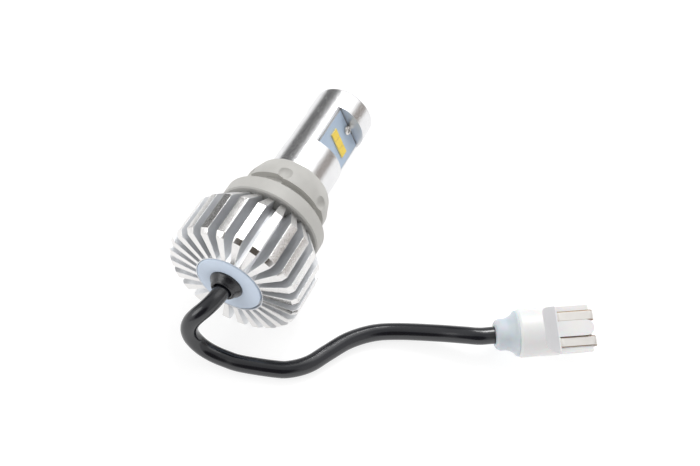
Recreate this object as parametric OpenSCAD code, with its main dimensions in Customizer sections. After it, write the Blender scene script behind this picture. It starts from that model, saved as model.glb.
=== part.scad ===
// LED headlight bulb: finned tail, twist-lock collar, post with two LED windows,
// and a short lead that ends in a 9.5 mm wedge plug.
// +Y runs along the bulb's axis towards its nose, +Z is up, millimetres.
// The origin is on the axis, in the plane of the collar's seating face.

/* [Heat sink] */
// Outer radius over the fins
sink_r = 14.5; // [14:0.1:15.5]
// Number of radial fins
fin_count = 24; // [18:1:26]
// Angle each fin spans, in degrees
fin_span = 7.2; // [5:0.1:8]
// Radius of the round core between the fins
core_r = 7.5; // [7.5:0.05:8.4]

/* [Post] */
// Radius of the round LED post
post_r = 6.95; // [6.8:0.05:7.1]
// Distance from the seating face to the flat nose of the post
post_len = 33.6; // [32:0.1:36]
// Turn of the post and its LED windows about the axis, in degrees
post_roll = 22; // [0:1:45]
// Distance of each LED flat from the axis
flat_d = 3.55; // [3.4:0.05:3.7]

/* [Collar] */
// Radius of the seating flange
flange_r = 11.4; // [11:0.1:12]
// Radius of the locating ring in front of the groove
ring_r = 9.4; // [9.1:0.1:9.8]
// Running clearance between the collar and the post, on the radius
collar_gap = 0.05; // [0.02:0.01:0.1]

/* [Lead and plug] */
// Diameter of the lead
lead_d = 3.5; // [3:0.1:3.8]
// Width of the wedge plug's blade
blade_w = 9.5; // [9.3:0.1:9.5]
// Turn of the plug about its own axis as it lies, in degrees
plug_roll = 21; // [0:1:90]

/* [Hidden] */
$fn = 64;
eps = 0.01;

// heat sink, measured along the axis
sink_rear = -19.0;
sink_bevel = 0.9;
face_start = -18.1;
face_end = -8.8;
sink_front = -3.9;
nose_r = 10.5;
rear_in = -19.6;
cover_r = 7.3;
cover_t = 1.0;
cavity_r = 6.6;
cavity_end = -6.6;
fin_phase = 10.4;
pitch = 360 / fin_count;

// post
stem_r = 5.0;
stem_in = -6.6;
win_a = 17.2;
win_b = 28.4;
win_w = 2 * sqrt(post_r * post_r - flat_d * flat_d);
wire_r = 1.5;
wire_end = 19.3;
ring_slot_y = 3.4;
o_minor = 0.7;

// LED boards
board_t = 0.3;
board_w = win_w - 1.7;
board_a = win_a + 0.1;
board_b = win_b - 0.1;
chip_w = 2.1;
chip_l = 2.3;
chip_t = 0.35;
chip_pitch = 2.2;
chip_y = 23.0;
screw_y = 27.33;
screw_r = 0.6;
head_r = 1.05;
head_h = 0.6;
pad_y = 18.3;

// collar
flange_back = -3.6;
groove_r = 8.0;
lug_back = 2.65;
gap_back = 3.2;
ring_end = 5.2;
collar_end = 9.1;
lug_turn = 4.5;

// driver, inside the core
drv_a = -16.5;
drv_len = 9.2;
drv_w = 11.0;
drv_t = 1.0;
liner_r = 6.3;

// grommet and cover
cover_out = -19.75;
boss_r = 3.6;
mouth_y = -21.6;
// the lead leaves the cover a little to one side of the axis
lead_x = -0.55;

// plug, laid on the floor under the fins
floor_z = -sink_r;
plug_r = 4.9;
plug_z = floor_z + plug_r;
boot_p = [50.1, -2.25, plug_z];
plug_turn = 30;
boot_len = 4.5;
body_b = 12.9;
blade_b = 19.5;
web_t = 1.3;
rib_t = 2.6;
rib_w = 3.2;
strip_w = 2.0;
strip_t = 0.3;
strip_at = 2.65;
scoop_r = 3.8;

// route of the lead's centre, from inside the grommet to inside the plug
route = [
    [-0.55, -16.9, 0],
    [-0.55, -18.5, 0],
    [-0.55, -20.1, 0],
    [-0.55, -21.6, -0.02],
    [-0.97, -24.28, -0.24],
    [-1.76, -26.15, -0.86],
    [-2.83, -27.5, -1.88],
    [-3.8, -28.36, -3.34],
    [-4.34, -28.84, -5.19],
    [-4.26, -28.99, -7.29],
    [-3.44, -28.9, -9.37],
    [-1.9, -28.73, -11.11],
    [0.28, -28.54, -12.2],
    [2.96, -28.33, -12.64],
    [6.14, -27.99, -12.74],
    [12.6, -26.3, -12.75],
    [15.6, -25, -12.75],
    [18.5, -22.3, -12.75],
    [20.7, -18.3, -12.75],
    [23.3, -13.9, -12.7],
    [27.1, -10.2, -12.6],
    [31.8, -7.8, -12.3],
    [39.2, -5.6, -11.2],
    [44.6, -4.5, -10],
    [47.5, -3.75, -9.6],
    [50.1, -2.25, -9.6],
    [54.9, 0.52, -9.6]
];

// turns the local +Z axis to the bulb's axis, +Y
module on_axis() {
    rotate([-90, 0, 0]) children();
}

// one of the two LED windows: local +X is the window's outward normal
module at_window(side) {
    on_axis() rotate([0, 0, -post_roll + 180 * side]) children();
}

// the plug's own frame: local +Z runs from the boot to the blade's tip
module at_plug() {
    translate(boot_p) rotate([0, 0, plug_turn]) rotate([0, 90, 0])
    rotate([0, 0, plug_roll]) children();
}

// wedge-shaped gap between two fins
module fin_gap() {
    h = (pitch - fin_span) / 2;
    far = sink_r + 3;
    translate([0, 0, rear_in - 1])
    linear_extrude(height = sink_front - rear_in + 2)
    polygon([
        [2, -2 * tan(h)],
        [far, -far * tan(h)],
        [far, far * tan(h)],
        [2, 2 * tan(h)]
    ]);
}

module heat_sink() {
    color([0.80, 0.81, 0.83])
    on_axis()
    difference() {
        union() {
            difference() {
                rotate_extrude()
                polygon([
                    [0, rear_in],
                    [core_r, rear_in],
                    [sink_r - sink_bevel, sink_rear],
                    [sink_r, face_start],
                    [sink_r, face_end],
                    [nose_r, sink_front],
                    [0, sink_front]
                ]);
                for (i = [0 : fin_count - 1])
                    rotate([0, 0, fin_phase + (i + 0.5) * pitch]) fin_gap();
            }
            translate([0, 0, rear_in])
            cylinder(r = core_r, h = sink_front - rear_in);
        }
        // driver cavity, cover seat and the post's bore
        translate([0, 0, rear_in - 1])
        cylinder(r = cavity_r, h = cavity_end - rear_in + 1);
        translate([0, 0, rear_in - 1])
        cylinder(r = cover_r, h = 1 + cover_t - (rear_in - cover_out));
        translate([0, 0, cavity_end - 1])
        cylinder(r = stem_r, h = sink_front - cavity_end + 2);
    }
}

module lamp_post() {
    color([0.84, 0.84, 0.85])
    on_axis() rotate([0, 0, -post_roll])
    difference() {
        rotate_extrude()
        polygon([
            [0, stem_in],
            [stem_r, stem_in],
            [stem_r, sink_front],
            [post_r, sink_front],
            [post_r, ring_slot_y - o_minor],
            [post_r - 0.8, ring_slot_y - o_minor],
            [post_r - 0.8, ring_slot_y + o_minor],
            [post_r, ring_slot_y + o_minor],
            [post_r, post_len - 0.7],
            [post_r - 0.2, post_len - 0.2],
            [post_r - 0.7, post_len],
            [0, post_len]
        ]);
        // the two LED windows
        for (s = [-1, 1])
            translate([s > 0 ? flat_d : -flat_d - 6, -8, win_a])
            cube([6, 16, win_b - win_a]);
        // wire bore, cross bore and screw holes
        translate([0, 0, stem_in - 1])
        cylinder(r = wire_r, h = wire_end - stem_in + 1);
        translate([-6, 0, pad_y])
        rotate([0, 90, 0])
        cylinder(r = 0.9, h = 12);
        translate([-6, 0, screw_y])
        rotate([0, 90, 0])
        cylinder(r = screw_r, h = 12);
    }
}

module led_board(side) {
    color([0.66, 0.75, 0.86])
    at_window(side)
    difference() {
        translate([flat_d, -board_w / 2, board_a])
        cube([board_t, board_w, board_b - board_a]);
        for (z = [screw_y, pad_y])
            translate([flat_d - 1, 0, z])
            rotate([0, 90, 0])
            cylinder(r = screw_r, h = 3);
    }
}

module led_chips(side) {
    color([0.95, 0.80, 0.20])
    at_window(side)
    for (i = [-1 : 1])
        translate([flat_d + board_t, i * chip_pitch - chip_w / 2, chip_y - chip_l / 2])
        cube([chip_t, chip_w, chip_l]);
}

module board_screw() {
    // pan head with a cross recess, on a plain shank
    difference() {
        union() {
            rotate_extrude()
            polygon([
                [0, 0],
                [head_r, 0],
                [head_r, head_h * 0.5],
                [head_r * 0.8, head_h * 0.9],
                [head_r * 0.5, head_h],
                [0, head_h]
            ]);
            translate([0, 0, -2.4])
            cylinder(r = screw_r, h = 2.4 + eps);
        }
        for (a = [0, 90])
            rotate([0, 0, a + 20])
            translate([-0.65, -0.12, head_h - 0.3])
            cube([1.3, 0.24, 1]);
    }
}

module board_screws() {
    color([0.75, 0.75, 0.77])
    for (s = [0, 1])
        at_window(s)
        translate([flat_d + board_t, 0, screw_y])
        rotate([0, 90, 0])
        board_screw();
}

// two insulated wires from the driver, up the post and out through the board
module board_leads(side) {
    color([0.75, 0.12, 0.10])
    at_window(side)
    for (s = [-1, 1])
        translate([0.6, s * 0.28, 0]) {
            translate([0, 0, drv_a + drv_len])
            cylinder(r = 0.25, h = pad_y - drv_a - drv_len);
            translate([0, 0, pad_y])
            sphere(r = 0.25);
            translate([0, 0, pad_y])
            rotate([0, 90, 0])
            cylinder(r = 0.25, h = flat_d + board_t - 0.65);
        }
}

module collar_blank(back) {
    rotate_extrude()
    polygon([
        [post_r + collar_gap, flange_back],
        [flange_r - 0.3, flange_back],
        [flange_r, flange_back + 0.3],
        [flange_r, -0.3],
        [flange_r - 0.3, 0],
        [groove_r, 0],
        [groove_r, back],
        [ring_r, back],
        [ring_r, ring_end],
        [ring_r - 1.0, 8.2],
        [ring_r - 1.4, 8.8],
        [ring_r - 2.0, collar_end],
        [post_r + collar_gap, collar_end]
    ]);
}

module locking_collar() {
    color([0.76, 0.76, 0.74])
    on_axis()
    difference() {
        union() {
            collar_blank(gap_back);
            // three twist-lock lugs reach further back than the ring between them
            for (i = [0 : 2])
                rotate([0, 0, lug_turn - 90 + i * 120])
                rotate_extrude(angle = 62)
                polygon([
                    [groove_r - 0.4, lug_back],
                    [ring_r, lug_back],
                    [ring_r, gap_back + 0.3],
                    [groove_r - 0.4, gap_back + 0.3]
                ]);
        }
        // dished recess at each end of each lug
        for (i = [0 : 2])
            for (e = [0, 62])
                rotate([0, 0, lug_turn - 90 + i * 120 + e])
                translate([ring_r + 1.2, 0, 4.2])
                sphere(r = 2.0);
        // undercut that the friction ring snaps into
        translate([0, 0, ring_slot_y - o_minor - 0.3])
        cylinder(r = post_r + 0.55, h = 2 * o_minor + 0.6);
    }
}

module collar_o_ring() {
    color([0.10, 0.10, 0.10])
    on_axis()
    translate([0, 0, ring_slot_y])
    rotate_extrude()
    translate([post_r - 0.8 + o_minor - 0.05, 0])
    circle(r = o_minor - 0.05, $fn = 32);
}

module rear_cover() {
    color([0.74, 0.82, 0.91])
    on_axis()
    difference() {
        translate([0, 0, cover_out])
        cylinder(r = cover_r - 0.06, h = cover_t);
        translate([lead_x, 0, cover_out - 1])
        cylinder(r = 2.6, h = cover_t + 2);
    }
}

module cable_grommet() {
    color([0.08, 0.08, 0.09])
    on_axis()
    translate([lead_x, 0, 0])
    difference() {
        rotate_extrude()
        polygon([
            [0, cover_out + cover_t + 0.8],
            [3.4, cover_out + cover_t + 0.8],
            [3.4, cover_out + cover_t],
            [2.6, cover_out + cover_t],
            [2.6, cover_out],
            [boss_r, cover_out],
            [boss_r - 0.15, cover_out - 0.5],
            [boss_r - 0.75, cover_out - 1.2],
            [2.45, mouth_y],
            [0, mouth_y]
        ]);
        translate([0, 0, mouth_y - 1])
        cylinder(r = lead_d / 2 + 0.08, h = 5);
    }
}

module driver_liner() {
    color([0.85, 0.83, 0.72])
    on_axis()
    difference() {
        translate([0, 0, -18.0])
        cylinder(r = liner_r, h = 11.2);
        translate([0, 0, -18.5])
        cylinder(r = liner_r - 0.4, h = 12.2);
    }
}

module driver_board() {
    color([0.10, 0.35, 0.18])
    translate([-drv_w / 2, drv_a, -drv_t / 2])
    cube([drv_w, drv_len, drv_t]);
}

module driver_chip() {
    color([0.12, 0.12, 0.13])
    translate([-4.2, -13.6, drv_t / 2])
    cube([3.9, 4.9, 1.5]);
}

module driver_inductor() {
    color([0.25, 0.25, 0.27])
    translate([1.0, -16.3, drv_t / 2])
    difference() {
        cube([3.6, 3.6, 2.6]);
        translate([1.8, 1.8, 2.3])
        cylinder(r = 1.3, h = 1);
    }
}

module driver_capacitors() {
    color([0.72, 0.58, 0.40])
    for (x = [0.9, 2.9])
        translate([x, -11.6, drv_t / 2])
        cube([1.25, 2.0, 1.2]);
}

module driver_diode() {
    color([0.14, 0.14, 0.15])
    translate([-4.6, -16.2, drv_t / 2])
    cube([3.6, 2.2, 2.0]);
}

// crimp on the lead, inside the cover, that takes the pull off the driver
module lead_ferrule() {
    color([0.72, 0.72, 0.70])
    on_axis()
    translate([lead_x, 0, -17.9])
    difference() {
        cylinder(r = 2.3, h = 0.9);
        translate([0, 0, -1])
        cylinder(r = lead_d / 2 + 0.02, h = 3);
    }
}

function unit(v) = v / norm(v);

// Catmull-Rom point on the route between its points i and i + 1
function rt(i) = route[max(0, min(len(route) - 1, i))];
function spline(i, t) = 0.5 * (2 * rt(i) + (rt(i + 1) - rt(i - 1)) * t
    + (2 * rt(i - 1) - 5 * rt(i) + 4 * rt(i + 1) - rt(i + 2)) * t * t
    + (3 * rt(i) - rt(i - 1) - 3 * rt(i + 1) + rt(i + 2)) * t * t * t);

// the lead: one closed tube swept along the route
sides = 12;
steps = 3;
path = concat(
    [for (i = [0 : len(route) - 2]) for (k = [0 : steps - 1]) spline(i, k / steps)],
    [route[len(route) - 1]]);
rings = len(path);

function dir_at(i) = unit(path[min(rings - 1, i + 1)] - path[max(0, i - 1)]);
function side_at(i) = unit(cross(dir_at(i), [0.13, 0.21, 0.97]));
function ring_pt(i, k) = path[i] + lead_d / 2 * (
    cos(360 * k / sides) * side_at(i)
    + sin(360 * k / sides) * cross(dir_at(i), side_at(i)));

module lead_cable() {
    color([0.10, 0.10, 0.11])
    polyhedron(
        points = [for (i = [0 : rings - 1]) for (k = [0 : sides - 1]) ring_pt(i, k)],
        faces = concat(
            [[for (k = [0 : sides - 1]) k]],
            [for (i = [0 : rings - 2]) for (k = [0 : sides - 1])
                [i * sides + k, (i + 1) * sides + k,
                    (i + 1) * sides + (k + 1) % sides, i * sides + (k + 1) % sides]],
            [[for (k = [sides - 1 : -1 : 0]) (rings - 1) * sides + k]]));
}

module plug_boot() {
    color([0.86, 0.88, 0.90])
    at_plug()
    difference() {
        rotate_extrude()
        polygon([
            [0, 0],
            [2.4, 0],
            [2.95, 0.3],
            [3.2, 1.0],
            [3.2, 2.1],
            [3.45, 2.9],
            [4.0, 3.7],
            [4.6, 4.2],
            [4.6, boot_len],
            [0, boot_len]
        ]);
        translate([0, 0, -1])
        cylinder(r = lead_d / 2 + 0.02, h = boot_len + 2);
    }
}

module plug_body() {
    color([0.90, 0.90, 0.89])
    at_plug()
    difference() {
        union() {
            rotate_extrude()
            polygon([
                [0, boot_len],
                [4.6, boot_len],
                [plug_r, boot_len + 0.5],
                [plug_r, body_b - 0.3],
                [plug_r - 0.3, body_b],
                [0, body_b]
            ]);
            // wedge blade with a round-ended rib along its middle on each face
            translate([-web_t / 2, -blade_w / 2, body_b - eps])
            cube([web_t, blade_w, blade_b - body_b]);
            translate([-rib_t / 2, -rib_w / 2, body_b - 2])
            cube([rib_t, rib_w, blade_b - body_b + 1]);
            translate([-rib_t / 2, 0, blade_b - 1])
            rotate([0, 90, 0])
            cylinder(r = rib_w / 2, h = rib_t);
        }
        // hollow scoop on each side, from the round body down to the blade
        for (s = [-1, 1])
            translate([s * (rib_t / 2 + scoop_r + 0.03), -6, body_b + 0.1])
            rotate([-90, s * 45 - 90, 0])
            cylinder(r = scoop_r, h = 12);
        // bore that holds the end of the lead
        translate([0, 0, boot_len - 1])
        cylinder(r = lead_d / 2 + 0.02, h = 3);
    }
}

// two strips, each folded over the blade's tip and lying on both of its faces
module plug_contacts() {
    color([0.80, 0.80, 0.79])
    at_plug()
    for (s = [-1, 1])
        translate([0, s * strip_at - strip_w / 2, 0])
        difference() {
            union() {
                translate([-web_t / 2 - strip_t, 0, body_b + 0.02])
                cube([web_t + 2 * strip_t, strip_w, blade_b - body_b - 0.02]);
                translate([0, 0, blade_b])
                rotate([-90, 0, 0])
                cylinder(r = web_t / 2 + strip_t, h = strip_w);
            }
            translate([-web_t / 2, -1, body_b - 1])
            cube([web_t, strip_w + 2, blade_b - body_b + 1]);
            translate([0, -1, blade_b])
            rotate([-90, 0, 0])
            cylinder(r = web_t / 2, h = strip_w + 2);
        }
}

heat_sink();
lamp_post();
led_board(0);  // led_board_right
led_board(1);  // led_board_left
led_chips(0);  // led_chips_right
led_chips(1);  // led_chips_left
board_screws();
board_leads(0);  // board_leads_right
board_leads(1);  // board_leads_left
locking_collar();
collar_o_ring();
rear_cover();
cable_grommet();
driver_liner();
driver_board();
driver_chip();
driver_inductor();
driver_capacitors();
driver_diode();
lead_ferrule();
lead_cable();
plug_boot();
plug_body();
plug_contacts();
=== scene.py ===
import math

import bmesh
import bpy
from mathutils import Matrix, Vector


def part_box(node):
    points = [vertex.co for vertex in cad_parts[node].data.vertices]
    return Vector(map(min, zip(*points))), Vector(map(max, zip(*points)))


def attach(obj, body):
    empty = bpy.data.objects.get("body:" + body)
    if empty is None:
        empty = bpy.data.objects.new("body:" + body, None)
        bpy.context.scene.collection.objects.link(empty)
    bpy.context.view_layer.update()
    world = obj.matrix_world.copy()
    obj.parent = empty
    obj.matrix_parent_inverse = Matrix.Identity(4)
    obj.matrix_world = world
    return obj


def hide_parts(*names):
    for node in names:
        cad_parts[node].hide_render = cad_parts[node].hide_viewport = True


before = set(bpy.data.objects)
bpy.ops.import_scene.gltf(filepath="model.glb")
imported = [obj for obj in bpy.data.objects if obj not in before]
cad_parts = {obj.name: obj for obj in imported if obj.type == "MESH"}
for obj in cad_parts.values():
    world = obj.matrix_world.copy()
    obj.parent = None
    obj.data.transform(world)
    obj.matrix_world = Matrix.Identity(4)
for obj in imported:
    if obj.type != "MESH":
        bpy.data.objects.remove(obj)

MM = 0.001
scene = bpy.context.scene
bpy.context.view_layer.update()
floor_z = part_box("heat_sink")[0].z


# ---------------------------------------------------------------- camera
CAM_AT = Vector((76.0, -126.2, 174.55)) * MM
CAM_DIR = Vector((-0.2667, 0.5716, -0.7760))
SENSOR_MM = 36.0
PICTURE_UNITS = 700.0       # the picture's width
FOCAL_UNITS = 1100.0        # the focal length in the same units

cam = bpy.data.objects.new("camera", bpy.data.cameras.new("camera"))
scene.collection.objects.link(cam)
cam.data.sensor_width = SENSOR_MM
cam.data.lens = SENSOR_MM * FOCAL_UNITS / PICTURE_UNITS
cam.data.clip_start = 0.01
cam.data.clip_end = 10.0
cam.location = CAM_AT
cam.rotation_mode = "QUATERNION"
cam.rotation_quaternion = CAM_DIR.to_track_quat("-Z", "Y")
scene.camera = cam
scene.view_settings.view_transform = "Standard"


# ---------------------------------------------------------------- places in the row frame
WINDOW_ROLL = math.radians(22.0)
FLAT = 3.55                             # from the bulb's axis to each window's flat, in mm
WINDOW_Y = (17.2, 28.4)                 # the windows' two end walls
WIN_X = Vector((math.cos(WINDOW_ROLL), 0, math.sin(WINDOW_ROLL)))
WIN_Y = Vector((math.sin(WINDOW_ROLL), 0, -math.cos(WINDOW_ROLL)))


def at_window(side, x, y, z):
    """Window frame to row frame in mm: x out of the flat, y across it, z along the bulb."""
    s = -1 if side else 1
    return WIN_X * (x * s) + WIN_Y * (y * s) + Vector((0, z, 0))


PLUG_TURN = math.radians(30.0)
PLUG_ROLL = math.radians(21.0)
PLUG_AT = Vector((50.1, -2.25, -9.6))
PLUG_Z = Vector((math.cos(PLUG_TURN), math.sin(PLUG_TURN), 0))
ACROSS = Vector((-math.sin(PLUG_TURN), math.cos(PLUG_TURN), 0))
DOWN = Vector((0, 0, -1))
PLUG_X = DOWN * math.cos(PLUG_ROLL) + ACROSS * math.sin(PLUG_ROLL)
PLUG_Y = ACROSS * math.cos(PLUG_ROLL) - DOWN * math.sin(PLUG_ROLL)


def at_plug(x, y, z):
    """Plug frame to row frame in mm: z from the boot to the blade's tip, y across the blade."""
    return PLUG_AT + PLUG_X * x + PLUG_Y * y + PLUG_Z * z


# ---------------------------------------------------------------- material tools
def new_material(name, color, rough, metallic=0.0, **extra):
    """A Principled material; extra sets further shader sockets by name with _ for spaces."""
    mat = bpy.data.materials.new(name)
    mat.use_nodes = True
    mat.diffuse_color = (*color, 1)
    bsdf = mat.node_tree.nodes["Principled BSDF"]
    bsdf.inputs["Base Color"].default_value = (*color, 1)
    bsdf.inputs["Roughness"].default_value = rough
    bsdf.inputs["Metallic"].default_value = metallic
    for key, value in extra.items():
        bsdf.inputs[key.replace("_", " ")].default_value = value
    return mat


def noise(mat, scale, detail):
    """Noise in the object's own coordinates; scale is in grains to the metre."""
    nt = mat.node_tree
    place = nt.nodes.new("ShaderNodeTexCoord")
    n = nt.nodes.new("ShaderNodeTexNoise")
    n.inputs["Scale"].default_value = scale
    n.inputs["Detail"].default_value = detail
    n.inputs["Roughness"].default_value = 0.55
    nt.links.new(place.outputs["Object"], n.inputs["Vector"])
    return n.outputs["Fac"]


def ramp(mat, fac, low, high):
    """Goes from one value or colour to another over the middle of a noise."""
    nt = mat.node_tree
    r = nt.nodes.new("ShaderNodeValToRGB")
    for el, pos, col in zip(r.color_ramp.elements, (0.30, 0.70), (low, high)):
        el.position = pos
        el.color = (col, col, col, 1) if isinstance(col, float) else (*col, 1)
    nt.links.new(fac, r.inputs["Fac"])
    return r.outputs["Color"]


def to(mat, out, socket):
    bsdf = mat.node_tree.nodes["Principled BSDF"]
    mat.node_tree.links.new(out, bsdf.inputs[socket])


def bump(mat, height, distance):
    nt = mat.node_tree
    b = nt.nodes.new("ShaderNodeBump")
    b.inputs["Strength"].default_value = 1.0
    b.inputs["Distance"].default_value = distance
    nt.links.new(height, b.inputs["Height"])
    to(mat, b.outputs["Normal"], "Normal")


def grained(name, color, rough, metallic, grain, depth, vary, rough_vary, **extra):
    """A material whose colour, roughness and surface vary with two scales of noise."""
    fine_detail, wide_detail, wide_by, min_rough = 3.0, 2.0, 14, 0.02
    mat = new_material(name, color, rough, metallic, **extra)
    fine = noise(mat, grain, fine_detail)
    wide = noise(mat, grain / wide_by, wide_detail)
    dark = tuple(c * (1 - vary) for c in color)
    light = tuple(min(1.0, c * (1 + vary)) for c in color)
    to(mat, ramp(mat, wide, dark, light), "Base Color")
    to(mat, ramp(mat, fine, max(min_rough, rough - rough_vary), rough + rough_vary), "Roughness")
    bump(mat, fine, depth * MM)
    return mat


# ---------------------------------------------------------------- materials
# colour, roughness, metallic, grain, grain depth in mm, colour's and roughness's variation
LOOKS = {
    "sink_side": ((0.84, 0.85, 0.865), 0.46, 0.9, 5200, 0.003, 0.05, 0.06),
    "sink_face": ((0.80, 0.79, 0.78), 0.24, 1.0, 5200, 0.045, 0.06, 0.12),
    # the fins' front slope: same aluminium as the outer face, made darker as painted shade
    "sink_slope_shade": ((0.64, 0.635, 0.63), 0.32, 1.0, 5200, 0.045, 0.06, 0.10),
    "sink_edge": ((0.80, 0.79, 0.78), 0.18, 1.0, 3000, 0.004, 0.03, 0.05),
    "post": ((0.77, 0.77, 0.78), 0.24, 1.0, 4600, 0.022, 0.03, 0.06),
    "window": ((0.86, 0.87, 0.885), 0.32, 0.8, 2500, 0.002, 0.02, 0.04),
    "wall": ((0.80, 0.80, 0.81), 0.34, 1.0, 3200, 0.004, 0.03, 0.05),
    "collar": ((0.515, 0.508, 0.485), 0.52, 0.0, 4200, 0.006, 0.035, 0.06),
    "cover": ((0.70, 0.80, 0.94), 0.50, 0.0, 3600, 0.002, 0.03, 0.05),
    "grommet": ((0.010, 0.011, 0.015), 0.26, 0.0, 3800, 0.003, 0.15, 0.05),
    "lead": ((0.004, 0.005, 0.009), 0.17, 0.0, 1400, 0.0008, 0.15, 0.03),
    "board": ((0.44, 0.545, 0.68), 0.34, 0.0, 3200, 0.002, 0.03, 0.05),
    "board_core": ((0.62, 0.63, 0.65), 0.50, 0.0, 4200, 0.004, 0.04, 0.06),
    # the board rim's dark grey is a painted shadow of the gap round the board
    "board_rim_shadow": ((0.24, 0.26, 0.29), 0.45, 0.0, 4200, 0.002, 0.05, 0.05),
    "phosphor": ((0.92, 0.68, 0.10), 0.55, 0.0, 6000, 0.003, 0.04, 0.06),
    "package": ((0.88, 0.74, 0.30), 0.45, 0.0, 6000, 0.002, 0.03, 0.05),
    "screw": ((0.72, 0.71, 0.69), 0.24, 1.0, 5000, 0.003, 0.06, 0.06),
    "pad": ((0.78, 0.77, 0.74), 0.30, 1.0, 6000, 0.004, 0.06, 0.08),
    "boot": ((0.62, 0.68, 0.725), 0.34, 0.0, 2600, 0.004, 0.03, 0.05),
    "plug": ((0.84, 0.84, 0.84), 0.36, 0.0, 3200, 0.003, 0.02, 0.05),
    # the scoops' darker grey below is painted shade, the same plastic as the body
    "plug_scoop_shade": ((0.65, 0.65, 0.665), 0.50, 0.0, 3200, 0.003, 0.03, 0.05),
    "contact": ((0.76, 0.74, 0.71), 0.46, 0.6, 2400, 0.006, 0.08, 0.10),
    "copper": ((0.30, 0.20, 0.12), 0.45, 0.7, 2400, 0.004, 0.20, 0.10),
    "wire_red": ((0.55, 0.03, 0.02), 0.35, 0.0, 3000, 0.003, 0.1, 0.05),
    "wire_black": ((0.02, 0.02, 0.02), 0.35, 0.0, 3000, 0.003, 0.1, 0.05),
    "o_ring": ((0.015, 0.015, 0.015), 0.5, 0.0, 3000, 0.004, 0.1, 0.05),
    "liner": ((0.62, 0.50, 0.22), 0.30, 0.0, 2000, 0.002, 0.05, 0.05),
    "pcb": ((0.02, 0.16, 0.05), 0.32, 0.0, 3500, 0.003, 0.1, 0.06),
    "black_case": ((0.02, 0.02, 0.021), 0.5, 0.0, 5000, 0.004, 0.1, 0.06),
    "ferrite": ((0.05, 0.05, 0.055), 0.55, 0.0, 4000, 0.006, 0.15, 0.06),
    "ceramic": ((0.42, 0.27, 0.12), 0.42, 0.0, 4000, 0.003, 0.08, 0.05),
    "brass": ((0.62, 0.44, 0.18), 0.28, 1.0, 3000, 0.003, 0.06, 0.06),
}
EXTRAS = {
    "grommet": {"IOR": 1.65},
    "lead": {"IOR": 1.70},
    "boot": {"Subsurface_Weight": 0.35, "Subsurface_Scale": 0.0015},
    "plug": {"Subsurface_Weight": 0.2, "Subsurface_Scale": 0.001},
}
M = {name: grained(name, *look, **EXTRAS.get(name, {})) for name, look in LOOKS.items()}


# ---------------------------------------------------------------- mesh tools (all in millimetres)
def set_round_normals(obj, radius):
    """Applies the rounding and points the normals on the turned surface out from the axis."""
    big_area, on_radius, on_flat = 1e-6, 4e-6, 2e-5
    bpy.context.view_layer.update()
    dg = bpy.context.evaluated_depsgraph_get()
    me = bpy.data.meshes.new_from_object(obj.evaluated_get(dg))
    old = obj.data
    obj.modifiers.clear()
    obj.data = me
    bpy.data.meshes.remove(old)
    me.name = obj.name
    me.shade_smooth()
    out = [None] * len(me.loops)
    for f in me.polygons:
        big = f.area > big_area or abs(f.normal.y) > 0.99
        faces_out = abs(f.normal.dot(WIN_X)) > 0.999
        for k in f.loop_indices:
            p = me.vertices[me.loops[k].vertex_index].co
            r = math.hypot(p.x, p.z)
            turned = abs(r - radius * MM) < on_radius and abs(f.normal.y) < 0.9
            flat = faces_out and abs(abs(p.dot(WIN_X)) - FLAT * MM) < on_flat
            if turned and not flat:
                out[k] = Vector((p.x / r, 0, p.z / r))
            elif flat or big:
                out[k] = f.normal.copy()
            else:
                out[k] = me.corner_normals[k].vector.copy()
    me.normals_split_custom_set(out)


def finish_mesh(name, bm, mats, body, stands_for=(), bevel=0.0, segments=2, angle=25,
                round_r=0):
    """Makes the bmesh an object in metres that rides on a body.

    bevel rounds its edges by that many mm, where they are sharper than angle, in degrees;
    round_r is the radius of a turned surface whose normals are set by set_round_normals.
    """
    bmesh.ops.recalc_face_normals(bm, faces=bm.faces)
    bmesh.ops.scale(bm, vec=(MM, MM, MM), verts=bm.verts)
    me = bpy.data.meshes.new(name)
    bm.to_mesh(me)
    bm.free()
    if "custom_normal" in me.attributes:
        me.attributes.remove(me.attributes["custom_normal"])
    me.shade_smooth()
    obj = bpy.data.objects.new(name, me)
    scene.collection.objects.link(obj)
    for key in mats:
        me.materials.append(M[key])
    if bevel:
        bv = obj.modifiers.new("rounding", "BEVEL")
        bv.width = bevel * MM
        bv.segments = segments
        bv.limit_method = "ANGLE"
        bv.angle_limit = math.radians(angle)
        bv.use_clamp_overlap = True
        bv.miter_outer = "MITER_ARC"
    if round_r:
        set_round_normals(obj, round_r)
    else:
        wn = obj.modifiers.new("normals", "WEIGHTED_NORMAL")
        wn.weight = 80
        wn.keep_sharp = False
    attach(obj, body)
    if stands_for:
        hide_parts(*stands_for)
    return obj


def from_cad(node):
    """The CAD node's mesh in millimetres, welded, with its flat faces made whole again."""
    weld, flat_angle = 0.0004, math.radians(0.6)
    bm = bmesh.new()
    bm.from_mesh(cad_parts[node].data)
    for f in bm.faces:
        f.smooth = True
        f.material_index = 0
    bmesh.ops.scale(bm, vec=(1 / MM,) * 3, verts=bm.verts)
    bmesh.ops.remove_doubles(bm, verts=bm.verts, dist=weld)
    bmesh.ops.dissolve_limit(bm, angle_limit=flat_angle, verts=bm.verts, edges=bm.edges,
                             delimit=set())
    return bm


def circle(centre, radius, seg):
    """Points of a circle round a centre, as (x, z) pairs."""
    turns = [2 * math.pi * k / seg for k in range(seg)]
    return [(centre[0] + radius * math.cos(a), centre[1] + radius * math.sin(a)) for a in turns]


def join_rows(bm, rows):
    """Joins rows of corners, each a closed ring or a single point, by faces."""
    for a, b in zip(rows, rows[1:]):
        if len(a) == 1 and len(b) == 1:
            continue
        seg = max(len(a), len(b))
        for k in range(seg):
            n = (k + 1) % seg
            if len(a) == 1:
                bm.faces.new((a[0], b[k], b[n]))
            elif len(b) == 1:
                bm.faces.new((a[k], a[n], b[0]))
            else:
                bm.faces.new((a[k], a[n], b[n], b[k]))


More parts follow.
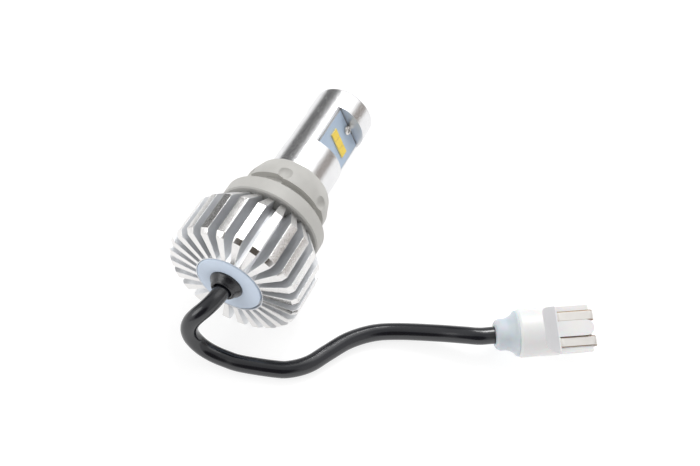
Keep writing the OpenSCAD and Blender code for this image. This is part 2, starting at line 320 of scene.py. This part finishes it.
def lathe(bm, profile, seg, centre=(0.0, 0.0)):
    """Turns a closed profile of (radius, y) points; a zero radius is a point on the axis."""
    rows = []
    for r, y in profile:
        if r < 1e-6:
            rows.append([bm.verts.new((centre[0], y, centre[1]))])
        else:
            rows.append([bm.verts.new((x, y, z)) for x, z in circle(centre, r, seg)])
    join_rows(bm, [*rows, rows[0]])
    return rows


def box_mesh(bm, lo, hi):
    xs, ys, zs = zip(lo, hi)
    v = [bm.verts.new((x, y, z)) for x in xs for y in ys for z in zs]
    for f in ((0, 1, 3, 2), (4, 6, 7, 5), (0, 4, 5, 1), (2, 3, 7, 6), (0, 2, 6, 4), (1, 5, 7, 3)):
        bm.faces.new([v[i] for i in f])
    return v


def window_box(bm, side, lo, hi):
    """A box given in the window's frame."""
    for v in box_mesh(bm, lo, hi):
        v.co = at_window(side, *v.co)


def cut(obj, cutters):
    """Takes the cutters' solids out of obj for good."""
    for c in cutters:
        mod = obj.modifiers.new("cut", "BOOLEAN")
        mod.operation = "DIFFERENCE"
        mod.solver = "EXACT"
        mod.object = c
    bpy.context.view_layer.update()
    dg = bpy.context.evaluated_depsgraph_get()
    me = bpy.data.meshes.new_from_object(obj.evaluated_get(dg))
    bm = bmesh.new()
    bm.from_mesh(me)
    for o in [obj, *cutters]:
        bpy.data.objects.remove(o)
    return bm


def temp_object(bm):
    bmesh.ops.recalc_face_normals(bm, faces=bm.faces)
    me = bpy.data.meshes.new("temp")
    bm.to_mesh(me)
    bm.free()
    obj = bpy.data.objects.new("temp", me)
    scene.collection.objects.link(obj)
    return obj


# ---------------------------------------------------------------- the lead
ROUTE = [
    (-0.55, -16.9, 0), (-0.55, -18.5, 0), (-0.55, -20.1, 0), (-0.55, -21.6, -0.02),
    (-0.97, -24.28, -0.24), (-1.76, -26.15, -0.86), (-2.83, -27.5, -1.88), (-3.8, -28.36, -3.34),
    (-4.34, -28.84, -5.19), (-4.26, -28.99, -7.29), (-3.44, -28.9, -9.37), (-1.9, -28.73, -11.11),
    (0.28, -28.54, -12.2), (2.96, -28.33, -12.64), (6.14, -27.99, -12.74), (12.6, -26.3, -12.75),
    (15.6, -25, -12.75), (18.5, -22.3, -12.75), (20.7, -18.3, -12.75), (23.3, -13.9, -12.7),
    (27.1, -10.2, -12.6), (31.8, -7.8, -12.3), (39.2, -5.6, -11.2), (44.6, -4.5, -10),
    (47.5, -3.75, -9.6), (50.1, -2.25, -9.6), (54.9, 0.52, -9.6)]
ROUTE_STEPS = 8
LEAD_D = 3.5
LEAD_X = -0.55


def spline(points, steps):
    """Catmull-Rom points through the route, the same curve as the CAD tube's."""
    p = [Vector(q) for q in points]
    out = []
    for i in range(len(p) - 1):
        a, b, c, d = (p[max(0, min(len(p) - 1, i + j))] for j in (-1, 0, 1, 2))
        for k in range(steps):
            t = k / steps
            out.append(0.5 * (2 * b + (c - a) * t + (2 * a - 5 * b + 4 * c - d) * t * t
                              + (3 * b - a - 3 * c + d) * t ** 3))
    return out + [p[-1]]


line = [q * MM for q in spline(ROUTE, ROUTE_STEPS)]
crv = bpy.data.curves.new("lead", "CURVE")
crv.dimensions = "3D"
crv.bevel_depth = LEAD_D / 2 * MM
crv.bevel_resolution = 8
crv.use_fill_caps = True
sp = crv.splines.new("POLY")
sp.points.add(len(line) - 1)
for pt, q in zip(sp.points, line):
    pt.co = (*q, 1)
sp.use_smooth = True
lead = bpy.data.objects.new("lead", crv)
scene.collection.objects.link(lead)
crv.materials.append(M["lead"])
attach(lead, "bulb")
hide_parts("lead_cable")


# ---------------------------------------------------------------- heat sink
def build_sink():
    """Twenty-four fins round a hollow core, as one closed mesh."""
    side, face, edge, slope = range(4)
    fins, first, span, pitch = 24, 10.4, 7.2, 15.0      # angles in degrees
    fin_steps, gap_steps = 4, 6
    core, cover, cavity, stem = 7.5, 7.3, 6.6, 5.0
    rear, front, seat, floor_in = -19.6, -3.9, -18.75, -6.6
    outline = [(13.6, -19.0), (14.5, -18.1), (14.5, -8.8), (10.5, -3.9)]
    # the front slope strip takes the darker aluminium of painted shade
    strip_looks = (edge, edge, face, slope, side)       # from the rear to the front of a fin
    inner = [(core, rear), (cover, rear), (cover, seat), (cavity, seat), (cavity, floor_in),
             (stem, floor_in), (stem, front), (core, front)]
    bm = bmesh.new()
    cols = []       # angle, fin, step across the fin or None in a gap
    for i in range(fins):
        c = first + i * pitch
        cols += [(c - span / 2 + span * k / fin_steps, i, k) for k in range(fin_steps + 1)]
        cols += [(c + span / 2 + (pitch - span) * k / gap_steps, i, None)
                 for k in range(1, gap_steps)]

    def vert(r, y, deg):
        a = math.radians(deg)
        return bm.verts.new((r * math.cos(a), y, -r * math.sin(a)))

    ins = [[vert(r, y, deg) for r, y in inner] for deg, i, k in cols]
    outs = [[] if k is None else [vert(r, y, deg) for r, y in outline] for deg, i, k in cols]
    chains = [[a[0], *b, a[-1]] for a, b in zip(ins, outs)]
    for a, (deg, i, k) in enumerate(cols):
        b = (a + 1) % len(cols)
        for p in range(len(inner) - 1):
            quad = (ins[a][p], ins[b][p], ins[b][p + 1], ins[a][p + 1])
            bm.faces.new(quad).material_index = side
        if k is not None and k < fin_steps:
            for p, look in enumerate(strip_looks):
                quad = (chains[a][p], chains[a][p + 1], chains[b][p + 1], chains[b][p])
                bm.faces.new(quad).material_index = look
        else:
            bm.faces.new((ins[a][0], ins[a][-1], ins[b][-1], ins[b][0])).material_index = side
        if k in (0, fin_steps):
            bm.faces.new(chains[a]).material_index = side
    finish_mesh("sink_fins", bm, ["sink_side", "sink_face", "sink_edge", "sink_slope_shade"],
                "bulb", ["heat_sink"], bevel=0.07)


# ---------------------------------------------------------------- post
def build_post():
    """Turned post with a rounded nose and two milled windows."""
    turned, flat, wall = range(3)
    r, nose, edge = 6.95, 33.6, 0.7
    bore, bore_end, stem, stem_end, shoulder = 1.5, 19.3, 5.0, -6.6, -3.9
    groove, groove_y = 0.8, (2.7, 4.1)
    window_half, window_deep, near = 8, 6, 0.2
    turns = [math.radians(a) for a in range(0, 90, 15)]
    rounding = [(r - edge + edge * math.cos(a), nose - edge + edge * math.sin(a)) for a in turns]
    profile = [(bore, stem_end), (stem, stem_end), (stem, shoulder), (r, shoulder),
               (r, groove_y[0]), (r - groove, groove_y[0]), (r - groove, groove_y[1]),
               (r, groove_y[1]), *rounding, (r - edge, nose), (0, nose), (0, bore_end),
               (bore, bore_end)]
    bm = bmesh.new()
    lathe(bm, profile, 240)
    post = temp_object(bm)
    cutters = []
    for side in (0, 1):
        cb = bmesh.new()
        window_box(cb, side, (FLAT, -window_half, WINDOW_Y[0]),
                   (FLAT + window_deep, window_half, WINDOW_Y[1]))
        cutters.append(temp_object(cb))
    bm = cut(post, cutters)
    for f in bm.faces:
        c = f.calc_center_median()
        out = abs(Vector((c.x, 0, c.z)).dot(WIN_X))
        if abs(f.normal.dot(WIN_X)) > 0.99 and abs(out - FLAT) < 0.02:
            f.material_index = flat
        elif abs(f.normal.y) > 0.9 and WINDOW_Y[0] - near < c.y < WINDOW_Y[1] + near:
            f.material_index = wall
        else:
            f.material_index = turned
    finish_mesh("post_turned", bm, ["post", "window", "wall"], "bulb",
                ["lamp_post"], bevel=0.06, round_r=r)


build_sink()
build_post()


# ---------------------------------------------------------------- collar, cover, grommet
COVER_AT = (-0.12, 0.12)        # the cover lies a little off the axis in its seat


def build_cover():
    """Disc with a rounded rim, and a hole that stays on the lead."""
    bm = bmesh.new()
    # (radius, y) from the hole's inner edge, round the rim, to the hole's outer edge
    rows = lathe(bm, [(2.6, -18.75), (6.98, -18.75), (7.02, -19.60), (6.94, -19.72),
                      (6.84, -19.75), (2.6, -19.75)], 160, COVER_AT)
    for v in rows[0] + rows[-1]:
        v.co += Vector((LEAD_X - COVER_AT[0], 0, -COVER_AT[1]))
    finish_mesh("cover_disc", bm, ["cover"], "bulb", ["rear_cover"])


def build_grommet():
    """Ring through the cover with a low dome outside it and a rounded mouth."""
    bm = bmesh.new()
    # (radius, y) from the inner end of the bore, round the cover's hole, to the mouth
    lathe(bm, [(1.78, -17.95), (3.4, -17.95), (3.4, -18.75), (2.6, -18.75), (2.6, -19.75),
               (3.6, -19.75), (3.58, -19.95), (3.45, -20.2), (3.2, -20.45), (2.95, -20.75),
               (2.75, -21.1), (2.6, -21.4), (2.48, -21.55), (2.3, -21.6), (2.05, -21.52),
               (1.9, -21.3), (1.78, -21.0)], 96, (LEAD_X, 0))
    finish_mesh("grommet_boss", bm, ["grommet"], "bulb", ["cable_grommet"])


finish_mesh("collar_moulded", from_cad("locking_collar"), ["collar"], "collar",
            ["locking_collar"], bevel=0.07, angle=28)
build_cover()
build_grommet()


# ---------------------------------------------------------------- LED windows
BOARD_THICK = 0.3
BOARD_TOP = FLAT + BOARD_THICK
CHIP_Y = 23.0                   # the chips' place along the bulb
CHIP_ACROSS = (-2.2, 0.0, 2.2)


def build_board(side, word):
    """Board with a masked face, a dark rim round it painted as the shadow of the gap at its edge,
    and a pale core.
    """
    mask, core, rim = range(3)
    rim_w = 0.10
    bm = from_cad(f"led_board_{word}")
    bm.normal_update()
    top = [f for f in bm.faces if abs(f.normal.dot(WIN_X)) > 0.98
           and abs(abs(f.calc_center_median().dot(WIN_X)) - BOARD_TOP) < 0.02]
    for f in bm.faces:
        f.material_index = core
    # a thin ring round the top face in dark grey: painted gap shadow
    edge = bmesh.ops.inset_region(bm, faces=top, thickness=rim_w, use_even_offset=True)
    for f in edge["faces"]:
        f.material_index = rim
    for f in top:
        f.material_index = mask
    finish_mesh(f"board_{word}", bm, ["board", "board_core", "board_rim_shadow"], "bulb",
                [f"led_board_{word}"])


def build_chips(side, word):
    """Three packages in a row, each with a raised phosphor window."""
    package_half, package_top = (1.05, 1.15), 0.27
    phosphor_half, phosphor_x = (0.97, 1.07), (0.2, 0.35)
    bm = bmesh.new()
    for y in CHIP_ACROSS:
        half_y, half_z = package_half
        window_box(bm, side, (BOARD_TOP, y - half_y, CHIP_Y - half_z),
                   (BOARD_TOP + package_top, y + half_y, CHIP_Y + half_z))
    packages = len(bm.faces)
    for y in CHIP_ACROSS:
        half_y, half_z = phosphor_half
        window_box(bm, side, (BOARD_TOP + phosphor_x[0], y - half_y, CHIP_Y - half_z),
                   (BOARD_TOP + phosphor_x[1], y + half_y, CHIP_Y + half_z))
    for i, f in enumerate(bm.faces):
        f.material_index = 0 if i < packages else 1
    finish_mesh(f"chips_{word}", bm, ["package", "phosphor"], "bulb",
                [f"led_chips_{word}"], bevel=0.04)


def build_solder(side, word):
    """Two solder domes where the leads come up."""
    radius, height, across, along, seg, steps = 0.50, 0.22, 0.62, 18.3, 24, 4
    bm = bmesh.new()
    for s in (-1, 1):
        centre = (s * across, along)
        rows = []
        for t in range(steps):
            a = math.radians(t * 90 / steps)
            x = BOARD_TOP + height * math.sin(a)
            rows.append([bm.verts.new(at_window(side, x, y, z))
                         for y, z in circle(centre, radius * math.cos(a), seg)])
        rows.append([bm.verts.new(at_window(side, BOARD_TOP + height, *centre))])
        join_rows(bm, rows)
        bm.faces.new(rows[0])
    finish_mesh(f"solder_{word}", bm, ["pad"], "bulb")


for side, word in ((0, "right"), (1, "left")):
    build_board(side, word)
    build_chips(side, word)
    build_solder(side, word)
finish_mesh("screw_heads", from_cad("board_screws"), ["screw"], "bulb",
            ["board_screws"], bevel=0.05, segments=3, angle=20)


# ---------------------------------------------------------------- plug
def build_plug():
    """The plug's body, with the moulded scoops beside the blade painted a darker grey as painted
    shade.
    """
    scoop_z = (8.0, 13.2)
    bm = from_cad("plug_body")
    bm.normal_update()
    for f in bm.faces:
        z = (f.calc_center_median() - PLUG_AT).dot(PLUG_Z)
        n = f.normal
        sloped = abs(n.dot(PLUG_X)) > 0.15 and n.dot(PLUG_Z) > 0.12 and abs(n.dot(PLUG_Y)) < 0.05
        # faces in the scoops get the darker grey of painted shade
        f.material_index = 1 if sloped and scoop_z[0] < z < scoop_z[1] else 0
    return finish_mesh("plug_housing", bm, ["plug", "plug_scoop_shade"], "bulb",
                       ["plug_body"], bevel=0.22, segments=4)


def build_contacts():
    """Two strips, each folded over the blade's tip, with bare copper along their cut edges."""
    tin, copper = range(2)
    half_w, thick, web, root, tip, centre = 1.0, 0.30, 0.655, 12.95, 19.5, 2.65
    outer, foot, straight_steps, fold_step = web + thick, 0.8, 6, 15
    path = [(outer + 0.22, root), (outer + 0.02, root + 0.35)]
    path += [(outer, root + foot + k * (tip - root - foot) / straight_steps)
             for k in range(straight_steps + 1)]
    back = [(-x, z) for x, z in reversed(path)]
    path += [(outer * math.cos(math.radians(a)), tip + outer * math.sin(math.radians(a)))
             for a in range(fold_step, 180, fold_step)]
    path += back
    last = len(path) - 1
    bm = bmesh.new()
    for s in (-1, 1):
        low, high = s * centre - half_w, s * centre + half_w
        # how deep in the strip, and where across it: the upper edge has a chamfer
        section = ((0.0, low + 0.08), (0.0, high - 0.22), (0.45, high), (1.0, high), (1.0, low),
                   (0.3, low))
        rows = []
        for i, (x, z) in enumerate(path):
            px, pz = path[max(0, i - 1)]
            qx, qz = path[min(last, i + 1)]
            t = Vector((qx - px, qz - pz)).normalized()
            inx, inz = -t.y * thick, t.x * thick
            rows.append([bm.verts.new(at_plug(x + inx * d, y, z + inz * d)) for d, y in section])
        for a, b in zip(rows, rows[1:]):
            for k in range(len(section)):
                m = (k + 1) % len(section)
                face = bm.faces.new((a[k], a[m], b[m], b[k]))
                face.material_index = tin if k in (0, 3) else copper
        bm.faces.new(rows[0]).material_index = copper
        bm.faces.new(rows[-1]).material_index = copper
    return finish_mesh("plug_strips", bm, ["contact", "copper"], "bulb",
                       ["plug_contacts"], bevel=0.03)


plug = build_plug()
boot = finish_mesh("plug_collar", from_cad("plug_boot"), ["boot"], "bulb",
                   ["plug_boot"], bevel=0.10, angle=30)
strips = build_contacts()


# ---------------------------------------------------------------- pieces inside
INSIDE = {
    "board_leads_right": "wire_red", "board_leads_left": "wire_black", "collar_o_ring": "o_ring",
    "driver_liner": "liner", "driver_board": "pcb", "driver_chip": "black_case",
    "driver_diode": "black_case", "driver_inductor": "ferrite", "driver_capacitors": "ceramic",
    "lead_ferrule": "brass"}
for node, key in INSIDE.items():
    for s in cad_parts[node].material_slots:
        s.material = M[key]


# ---------------------------------------------------------------- floor
FLOOR_GREY = 0.30
FLOOR_GLOW = 0.80
FLOOR_RADIUS = 1.6
FLOOR_GAP = 0.00002

floor_mat = bpy.data.materials.new("floor")
floor_mat.use_nodes = True
fb = floor_mat.node_tree.nodes["Principled BSDF"]
fb.inputs["Base Color"].default_value = (FLOOR_GREY, FLOOR_GREY, FLOOR_GREY, 1)
fb.inputs["Roughness"].default_value = 0.8
fb.inputs["Specular IOR Level"].default_value = 0.1
fb.inputs["Emission Color"].default_value = (1, 1, 1, 1)
fb.inputs["Emission Strength"].default_value = FLOOR_GLOW
me = bpy.data.meshes.new("floor")
bm = bmesh.new()
bmesh.ops.create_circle(bm, cap_ends=True, radius=FLOOR_RADIUS, segments=96)
bm.to_mesh(me)
bm.free()
floor = bpy.data.objects.new("floor", me)
floor.location.z = floor_z - FLOOR_GAP
me.materials.append(floor_mat)
scene.collection.objects.link(floor)


# ---------------------------------------------------------------- world: a soft studio room
ROOM = 0.66
# grey level or colour of an area, its direction, and the angles where it begins and has faded
AREAS = (
    (1.50, (0.26, 0.57, 0.77), 20, 38),
    (1.00, (-0.8, -0.5, 0.35), 14, 38),
    (0.48, (0.15, -0.35, 0.93), 10, 28),
    ((0.10, 0.085, 0.075), (0.22, -0.84, 0.49), 20, 32),
    (0.16, (-0.82, 0.57, 0.05), 18, 38),
    (0.17, (-0.69, 0.58, 0.40), 8, 27),
    ((0.36, 0.325, 0.30), (0.80, 0.565, 0.18), 13, 28),
)
# name, place, aim, diameter and watts
LIGHTS = (
    ("key", (0.05, 0.46, 0.74), (0.02, -0.02, 0), 0.30, 2.2),
    ("glint", (-0.17, 0.50, 0.70), (0.01, -0.03, -0.01), 0.14, 0.45),
    ("fill", (-0.45, -0.45, 0.5), (0.02, 0, 0), 0.5, 1.0),
)

world = bpy.data.worlds.new("studio")
scene.world = world
world.use_nodes = True
wt = world.node_tree
bg = wt.nodes["Background"]
tc = wt.nodes.new("ShaderNodeTexCoord")


def lobe(direction, inner, outer):
    """1 inside the inner angle round a direction, falling to 0 at the outer angle, in degrees."""
    dot = wt.nodes.new("ShaderNodeVectorMath")
    dot.operation = "DOT_PRODUCT"
    dot.inputs[1].default_value = Vector(direction).normalized()
    wt.links.new(tc.outputs["Generated"], dot.inputs[0])
    mr = wt.nodes.new("ShaderNodeMapRange")
    mr.interpolation_type = "SMOOTHSTEP"
    mr.inputs["From Min"].default_value = math.cos(math.radians(outer))
    mr.inputs["From Max"].default_value = math.cos(math.radians(inner))
    wt.links.new(dot.outputs["Value"], mr.inputs["Value"])
    return mr.outputs["Result"]


def mix_to(base, value, fac):
    """Mixes a grey level or a colour over the base by a factor."""
    mx = wt.nodes.new("ShaderNodeMix")
    mx.data_type = "RGBA"
    ins = [i for i in mx.inputs if i.type == "RGBA"]
    wt.links.new(fac, mx.inputs[0])
    for sock, val in zip(ins, (base, value)):
        if isinstance(val, float):
            sock.default_value = (val, val, val, 1)
        elif isinstance(val, tuple):
            sock.default_value = (*val, 1)
        else:
            wt.links.new(val, sock)
    return next(o for o in mx.outputs if o.type == "RGBA")


level = ROOM
for value, direction, inner, outer in AREAS:
    level = mix_to(level, value, lobe(direction, inner, outer))
wt.links.new(level, bg.inputs["Color"])
bg.inputs["Strength"].default_value = 1.0

for name, at, aim, size, watts in LIGHTS:
    data = bpy.data.lights.new(name, "AREA")
    data.shape = "DISK"
    data.size = size
    data.energy = watts
    obj = bpy.data.objects.new(name, data)
    obj.location = at
    obj.rotation_mode = "QUATERNION"
    obj.rotation_quaternion = (Vector(aim) - Vector(at)).to_track_quat("-Z", "Y")
    scene.collection.objects.link(obj)
